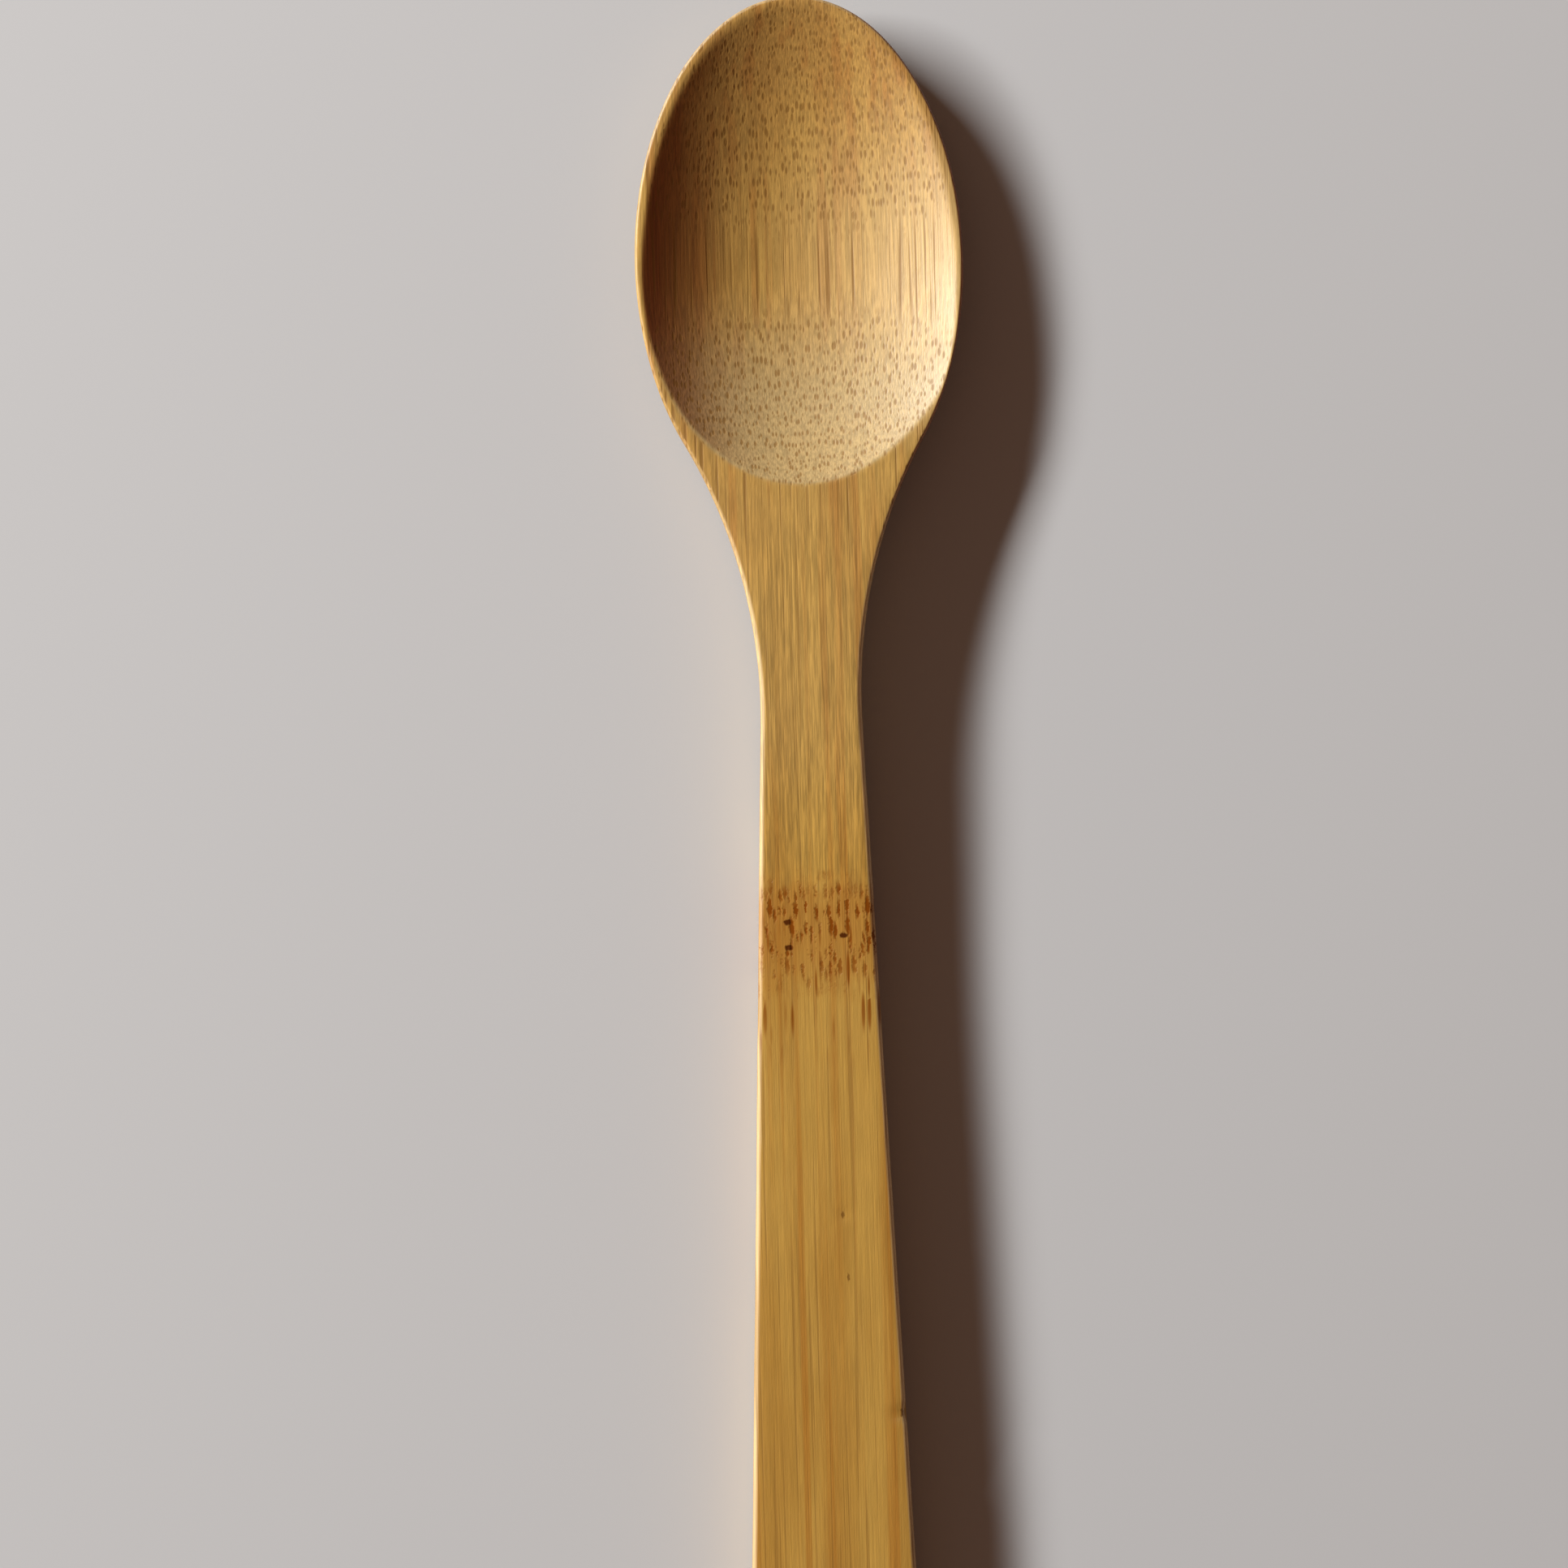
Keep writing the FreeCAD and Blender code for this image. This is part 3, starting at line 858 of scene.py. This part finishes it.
@dataclass(frozen=True)
class BambooFinish:
    """Colours and measures of bamboo: pale straw ground, brown threads and a node band.

    A ramp is the two ends of the range that it reads and, where it doesn't rise from 0 to 1,
    the two values that it gives there. Places are on the spoon's own axes, the bowl at +Y.
    """

    pale: Colour = Colour(192, 148, 66)
    deep: Colour = Colour(180, 133, 54)
    # Pale cut grain; towards the bowl's right wall, which faces the light, it also serves as a painted
    # highlight.
    cut: Colour = Colour(207, 173, 116)
    # Duller, greyer tone for the heel slope: partly end grain, partly painted light where that slope
    # faces the lamp.
    end: Colour = Colour(184, 158, 110)
    # Pale worn edges, which also carry a painted edge highlight; the pale lines on the handle use the
    # same colour.
    pale_wear_and_highlight: Colour = Colour(224, 192, 140)
    # Painted shade: multiplied in to darken and redden the bowl's left wall and its tip.
    painted_shade: Colour = Colour(202, 152, 140)
    thread: Colour = Colour(130, 86, 14)
    stripe: Colour = Colour(170, 108, 28)
    fleck: Colour = Colour(126, 58, 0)
    char: Colour = Colour(84, 40, 6)

    # Ground
    drift: Grain = Grain(5.0 * MM, 0.12, (0.35, 0.65))
    stripes: Grain = Grain(1.4 * MM, 0.008, (0.5, 0.68, 0.0, 0.6))

    # Bowl: cut grain paler, and paler still towards the right wall (painted highlight); the heel slope
    # duller (end grain, and painted light where it faces the lamp); the left wall and tip darker and
    # redder (painted shade); the rounded edges paler (wear and a painted highlight)
    bowl_starts: Ramp = (32.0 * MM, 42.0 * MM)
    cut_starts: Ramp = (40.0 * MM, 55.0 * MM)
    # Paler towards the right wall, which faces the light: a painted highlight.
    painted_highlight_aside: Ramp = (-10.0 * MM, 14.0 * MM, 0.1, 0.65)
    cut_at_tip: Ramp = (70.0 * MM, 92.0 * MM, 1.0, 0.3)
    cut_at_neck: Ramp = (-5.0 * MM, 15.0 * MM, 0.0, 0.16)
    # Slopes that face the tip, chiefly the heel of the hollow: end grain and painted light.
    heel_grain_and_light_slope: Ramp = (0.02, 0.3)
    heel_grain_and_light_share: float = 0.8
    # Painted shade on the left wall, which faces away from the light, and at the tip.
    painted_shade_slope: Ramp = (0.15, 0.55)
    painted_shade_at_tip: Ramp = (72.0 * MM, 94.0 * MM, 0.0, 0.2)
    # Paler rounded edges on the handle and neck: wear, and a painted highlight.
    worn_and_highlit_edge: Ramp = (20.0 * MM, 60.0 * MM, 0.8, 0.0)

    # Fibres
    fibres: Grain = Grain(0.2 * MM, 0.015, (0.33, 0.67, 0.8, 1.12), detail=3.0)
    short_fibres: Grain = Grain(0.17 * MM, 0.045, (0.36, 0.64, -0.16, 0.14))
    short_in_bowl: Ramp = (0.0, 1.0, 1.0, 0.35)
    fibres_along: Ramp = (-20.0 * MM, -8.0 * MM, 0.36, 1.0)

    # Fibre bundles: dashes where the bowl slopes across them, long streaks where it runs along
    level_slope: float = 0.03
    level_reach: Ramp = (0.12, 0.035)
    dashes: Bundles = Bundles(0.45 * MM, 3.2, 0.31, 0.3, 0.8 * MM)
    dashes_where_level: Ramp = (0.0, 1.0, 0.68, 0.12)
    streaks: Grain = Grain(0.4 * MM, 0.01, (0.57, 0.69), detail=1.0, upright=0.25)
    streaks_in_bowl: Ramp = (0.0, 1.0, 0.4, 0.75)
    streaks_least: float = 0.15
    lines: Bundles = Bundles(1.3 * MM, 30.0, 0.05, 0.06, 1.0 * MM, (0.4, 0.6, 0.0, 0.6))
    lines_in_bowl: Ramp = (0.0, 1.0, 1.0, 0.0)

    # Node band: it begins sharply on the bowl's side and trails off down the handle. Its ramps
    # read a place that the uneven noise has pushed up by about half its reach.
    uneven_size: float = 2.4 * MM
    uneven_reach: float = 7.0 * MM
    band_start: Ramp = (0.0, -4.5 * MM)
    band_tail: Ramp = (-17.0 * MM, -9.0 * MM)
    band_share: float = 0.5
    tear: float = 0.45 * MM
    flecks: Bundles = Bundles(0.58 * MM, 4.2, 0.4, 0.4, 1.5 * MM, (0.2, 0.5))
    flecks_share: float = 0.9
    trails: Bundles = Bundles(0.62 * MM, 10.0, 0.3, 0.3, 1.0 * MM, (0.2, 0.6))
    trails_start: Ramp = (-7.0 * MM, -13.0 * MM)
    trails_end: Ramp = (-29.0 * MM, -20.0 * MM)
    trails_share: float = 0.8

    # Dark pits in the band, and small marks down the handle
    pits: tuple[Vector, ...] = (
        Vector((-3.52, -10.0, 7.0)) * MM,
        Vector((-3.37, -13.0, 7.0)) * MM,
        Vector((3.07, -11.7, 7.0)) * MM,
    )
    pit_size: Vector = Vector((0.52, 0.38, 3.0)) * MM
    specks: tuple[Vector, ...] = (
        Vector((2.15, -44.9, 7.0)) * MM,
        Vector((2.6, -52.2, 7.0)) * MM,
        Vector((8.5, -68.5, 6.6)) * MM,
    )
    speck_size: Vector = Vector((0.2, 0.5, 3.0)) * MM
    speck_share: float = 0.6

    # Relief in millimetres, roughness and sheen
    tooth: Grain = Grain(0.12 * MM, 0.2)
    tooth_height: float = 0.012
    fibre_height: float = 0.03
    thread_height: float = -0.03
    fleck_height: float = -0.05
    relief_strength: float = 0.7
    roughness: float = 0.4
    thread_roughness: float = 0.15
    patch_roughness: float = 0.1
    patch_size: float = 6.0 * MM
    sheen_on_marks: Ramp = (0.0, 1.0, 0.55, 0.1)


class BambooShader:
    """The nodes of the bamboo, laid coat on coat."""

    def __init__(self, finish: BambooFinish) -> None:
        """Start the material, and read where a shaded point lies and how it leans.

        Args:
            finish: The colours and measures of the bamboo.
        """
        self.finish = finish
        self.material = bpy.data.materials.new("oiled bamboo")
        self.material.use_nodes = True
        self.material.node_tree.nodes.clear()
        self.graph = Graph(self.material.node_tree)
        source = self.graph.add("TexCoord").outputs
        self.place = source["Object"]
        self.aside, self.along = self.graph.add("SeparateXYZ", {0: self.place}).outputs[:2]
        self.facing, self.lean = self.graph.add("SeparateXYZ", {0: source["Normal"]}).outputs[:2]
        self.in_bowl = self.graph.ramp(self.along, finish.bowl_starts)
        self.bundles = fibre_bundles()
        self.colour = finish.pale.linear

    def paint(self, share: Socket, colour: Colour, blend: str = "MIX") -> None:
        """Lay a colour over what is there, as strongly as a share says."""
        self.colour = self.graph.mix(share, self.colour, colour.linear, blend)

    def draw(self, grain: Grain) -> Socket:
        """Draw a grain along the spoon, and give the noise's socket, before its ramp."""
        squashed = self.graph.vector("MULTIPLY", self.place, (1.0, grain.squash, grain.upright))
        return self.graph.noise(squashed, grain.size, grain.detail)

    def mask(self, grain: Grain) -> Socket:
        """Draw a grain along the spoon, and give the socket of its ramp."""
        return self.graph.ramp(self.draw(grain), grain.ramp)

    def threads(self, bundles: Bundles, place: Socket) -> Socket:
        """Draw fibre bundles.

        Args:
            bundles: Their measures.
            place: The place to draw them on.

        Returns:
            The mask's socket.
        """
        sockets = {label: getattr(bundles, label.lower()) for label in BUNDLE_INPUTS}
        drawn = self.graph.add("Group", {"Vector": place, **sockets}, node_tree=self.bundles).outputs
        return self.graph.times(drawn["Thread"], self.graph.ramp(drawn["Tone"], bundles.tones))

    def lay_ground(self) -> None:
        """Lay the ground: slow change of tone and broad stripes."""
        self.paint(self.mask(self.finish.drift), self.finish.deep)
        self.paint(self.mask(self.finish.stripes), self.finish.stripe)

    def tone_bowl(self) -> None:
        """Lay the pale cut grain with a painted highlight towards the right wall, dull the heel slope
        with end grain and painted light, lay painted shade on the left wall and tip, and pale the
        rounded edges of the handle and neck with wear and a painted highlight.
        """
        graph, finish = self.graph, self.finish
        # Pale cut grain over the heel half of the bowl, stronger towards the right wall that faces the
        # light (painted highlight) and fading towards the tip.
        cut = graph.times(graph.ramp(self.along, finish.cut_starts),
                          graph.ramp(self.aside, finish.painted_highlight_aside),
                          graph.ramp(self.along, finish.cut_at_tip))
        self.paint(graph.most(cut, graph.ramp(self.along, finish.cut_at_neck)), finish.cut)
        # Slopes that face the tip, chiefly the heel of the hollow, which faces the light: partly end
        # grain, partly painted light.
        end = graph.ramp(self.lean, finish.heel_grain_and_light_slope)
        self.paint(graph.times(end, finish.heel_grain_and_light_share), finish.end)
        # Painted shade: the left wall of the hollow, turned away from the light, and the tip are
        # darkened and reddened.
        painted_shade_share = graph.times(self.in_bowl, graph.ramp(self.facing, finish.painted_shade_slope))
        painted_shade_share = graph.most(painted_shade_share, graph.ramp(self.along, finish.painted_shade_at_tip))
        self.paint(painted_shade_share, finish.painted_shade, "MULTIPLY")
        # Paler rounded edges, most on the handle and neck: partly wear, partly a painted edge highlight.
        pale_wear_and_highlight = graph.add("Attribute", attribute_name=EDGE_MARK, attribute_type="GEOMETRY")
        pale_wear_and_highlight = graph.times(pale_wear_and_highlight.outputs["Fac"], graph.ramp(self.along, finish.worn_and_highlit_edge))
        self.paint(pale_wear_and_highlight, finish.pale_wear_and_highlight)

    def lay_fibres(self) -> Socket:
        """Shade the finest fibres, long ones over short ones.

        Returns:
            The socket of the long fibres' noise.
        """
        graph, finish = self.graph, self.finish
        fibres = self.draw(finish.fibres)
        short_share = graph.ramp(self.in_bowl, finish.short_in_bowl)
        short = graph.maths("MULTIPLY_ADD", self.mask(finish.short_fibres), short_share, 1.0)
        shade = graph.times(graph.ramp(fibres, finish.fibres.ramp), short)
        shade = graph.add("CombineXYZ", {0: shade, 1: shade, 2: shade}).outputs[0]
        share = graph.ramp(self.along, finish.fibres_along)
        self.colour = graph.mix(share, self.colour, shade, "MULTIPLY")
        return fibres

    def lay_bundles(self) -> Socket:
        """Lay the fibre bundles: dashes and streaks, and pale lines on the handle.

        Returns:
            The socket of the dark threads' mask.
        """
        graph, finish = self.graph, self.finish
        off_level = graph.maths("ABSOLUTE", graph.maths("SUBTRACT", self.lean, finish.level_slope))
        level = graph.ramp(off_level, finish.level_reach)
        dash = graph.times(self.threads(finish.dashes, self.place),
                           graph.ramp(level, finish.dashes_where_level), self.in_bowl)
        streak = graph.times(self.mask(finish.streaks),
                             graph.ramp(self.in_bowl, finish.streaks_in_bowl),
                             graph.most(level, finish.streaks_least))
        dark = graph.most(dash, streak)
        self.paint(dark, finish.thread)
        line = graph.times(self.threads(finish.lines, self.place),
                           graph.ramp(self.in_bowl, finish.lines_in_bowl))
        self.paint(line, finish.pale_wear_and_highlight)
        return dark

    def lay_band(self) -> tuple[Socket, Socket]:
        """Lay the node band: warmer ground, torn flecks and their trails.

        Returns:
            The sockets of the flecks' mask and of the trails' mask.
        """
        graph, finish = self.graph, self.finish
        uneven = graph.noise(self.place, finish.uneven_size)
        pushed = graph.maths("MULTIPLY_ADD", uneven, finish.uneven_reach, self.along)
        band = graph.times(graph.ramp(pushed, finish.band_start), graph.ramp(pushed, finish.band_tail))
        tear = graph.stir(self.place, finish.tear, (finish.tear,) * 3)
        fleck = graph.times(self.threads(finish.flecks, graph.vector("ADD", self.place, tear)), band)
        trail = graph.times(self.threads(finish.trails, self.place),
                            graph.ramp(self.along, finish.trails_start),
                            graph.ramp(self.along, finish.trails_end))
        self.paint(graph.times(band, finish.band_share), finish.stripe)
        self.paint(graph.times(trail, finish.trails_share), finish.fleck)
        self.paint(graph.times(fleck, finish.flecks_share), finish.fleck)
        return fleck, trail

    def lay_pits(self) -> Socket:
        """Lay the dark pits and the small marks.

        Returns:
            The socket of their mask.
        """
        graph, finish = self.graph, self.finish
        tree = pit_mark()
        spots = [(spot, finish.pit_size, 1.0) for spot in finish.pits]
        spots += [(spot, finish.speck_size, finish.speck_share) for spot in finish.specks]
        marks = []
        for spot, size, share in spots:
            sockets = {"Vector": self.place, "Place": spot, "Size": size}
            marks.append(graph.times(graph.add("Group", sockets, node_tree=tree).outputs["Pit"], share))
        pits = graph.most(*marks)
        self.paint(pits, finish.char)
        return pits

    def build(self) -> bpy.types.Material:
        """Lay every coat. Threads and flecks lie a little low, and sanding leaves a fine tooth.

        Returns:
            The finished material.
        """
        graph, finish = self.graph, self.finish
        self.lay_ground()
        self.tone_bowl()
        fibres = self.lay_fibres()
        dark = self.lay_bundles()
        fleck, trail = self.lay_band()
        marks = graph.most(self.lay_pits(), fleck, trail)
        relief = graph.times(self.draw(finish.tooth), finish.tooth_height)
        for mask, height in ((fibres, finish.fibre_height), (dark, finish.thread_height),
                             (fleck, finish.fleck_height)):
            relief = graph.maths("MULTIPLY_ADD", mask, height, relief)
        bump = graph.add("Bump", {"Height": relief, "Distance": MM, "Strength": finish.relief_strength})
        rough = graph.maths("MULTIPLY_ADD", dark, finish.thread_roughness, finish.roughness)
        patches = graph.noise(self.place, finish.patch_size)
        rough = graph.maths("MULTIPLY_ADD", patches, finish.patch_roughness, rough)
        shine = graph.ramp(marks, finish.sheen_on_marks)
        shader = graph.add("BsdfPrincipled", {"Base Color": self.colour, "Roughness": rough,
                                              "Normal": bump.outputs[0], "Specular IOR Level": shine})
        graph.add("OutputMaterial", {"Surface": shader.outputs[0]})
        return self.material


@dataclass(frozen=True)
class Studio:
    """The pale floor, the one soft light from the left, the weak light all round and the camera."""

    floor_colour: Colour = Colour(197, 196, 196)
    floor_radius: float = 2.5
    floor_sides: int = 96
    floor_roughness: float = 0.95
    floor_sheen: float = 0.1
    photo_width: float = 185.86 * MM
    lens: float = 100.0
    sensor: float = 36.0
    nearest: float = 0.01
    lean: float = math.radians(1.55)
    middle: Vector = Vector((-3.45, 6.4, 7.0)) * MM
    key_distance: float = 2.0
    key_width: float = 1.3
    key_height: float = 0.24
    key_azimuth: float = math.radians(151.0)
    key_elevation: float = math.radians(24.0)
    key_share: float = 0.885
    key_tint: tuple[float, float, float] = (0.98, 1.0, 1.0)
    fill_share: float = 0.125
    fill_tint: tuple[float, float, float, float] = (1.0, 0.56, 0.38, 1.0)

    def lay_floor(self) -> None:
        """Lay a plain pale floor that keeps the spoon's shadow."""
        mesh = bmesh.new()
        bmesh.ops.create_circle(mesh, cap_ends=True, segments=self.floor_sides, radius=self.floor_radius)
        floor = show("floor", mesh)
        material = bpy.data.materials.new("pale floor")
        material.use_nodes = True
        inputs = material.node_tree.nodes["Principled BSDF"].inputs
        inputs["Base Color"].default_value = self.floor_colour.linear
        inputs["Roughness"].default_value = self.floor_roughness
        inputs["Specular IOR Level"].default_value = self.floor_sheen
        floor.data.materials.append(material)

    def hang_light(self) -> None:
        """Hang a soft box that lights a level surface at the share of the whole light."""
        lamp = bpy.data.lights.new("soft box", "AREA")
        lamp.shape = "RECTANGLE"
        lamp.size = self.key_width
        lamp.size_y = self.key_height
        lamp.energy = self.key_share * math.pi**2 * self.key_distance**2 / math.sin(self.key_elevation)
        lamp.color = self.key_tint
        box = bpy.data.objects.new("soft box", lamp)
        flat = math.cos(self.key_elevation)
        towards = Vector((flat * math.cos(self.key_azimuth), flat * math.sin(self.key_azimuth),
                          math.sin(self.key_elevation)))
        box.location = self.middle + towards * self.key_distance
        box.rotation_euler = towards.to_track_quat("Z", "Y").to_euler()
        bpy.context.scene.collection.objects.link(box)

    def fill_air(self) -> None:
        """Give the world a weak even light, and a pale look where the camera sees it."""
        world = bpy.data.worlds.new("studio")
        bpy.context.scene.world = world
        world.use_nodes = True
        world.node_tree.nodes.clear()
        graph = Graph(world.node_tree)
        path = graph.add("LightPath").outputs
        seen = graph.most(path["Is Camera Ray"], path["Is Transmission Ray"])
        dim = graph.add("Background", {"Color": self.fill_tint, "Strength": self.fill_share})
        pale = graph.add("Background", {"Color": self.floor_colour.linear, "Strength": 1.0})
        shown = graph.add("MixShader", {0: seen, 1: dim.outputs[0], 2: pale.outputs[0]})
        graph.add("OutputWorld", {"Surface": shown.outputs[0]})

    def set_camera(self) -> None:
        """Set the camera straight above, turned by the spoon's lean in the picture."""
        lens = bpy.data.cameras.new("camera")
        lens.lens = self.lens
        lens.sensor_width = self.sensor
        lens.clip_start = self.nearest
        camera = bpy.data.objects.new("camera", lens)
        camera.location = self.middle + Vector((0.0, 0.0, self.photo_width * self.lens / self.sensor))
        camera.rotation_euler = (0.0, 0.0, -self.lean)
        bpy.context.scene.collection.objects.link(camera)
        bpy.context.scene.camera = camera

    def build(self) -> None:
        """Set up the whole studio."""
        self.set_camera()
        self.lay_floor()
        self.hang_light()
        self.fill_air()


def main() -> None:
    """Build the studio and the spoon; the imported part stays in the scene, hidden."""
    logging.basicConfig(level=logging.INFO, format="%(name)s: %(message)s")
    bpy.context.scene.view_settings.view_transform = "Standard"
    Studio().build()
    Spoon().build(BambooShader(BambooFinish()).build())


if __name__ == "__main__":
    main()
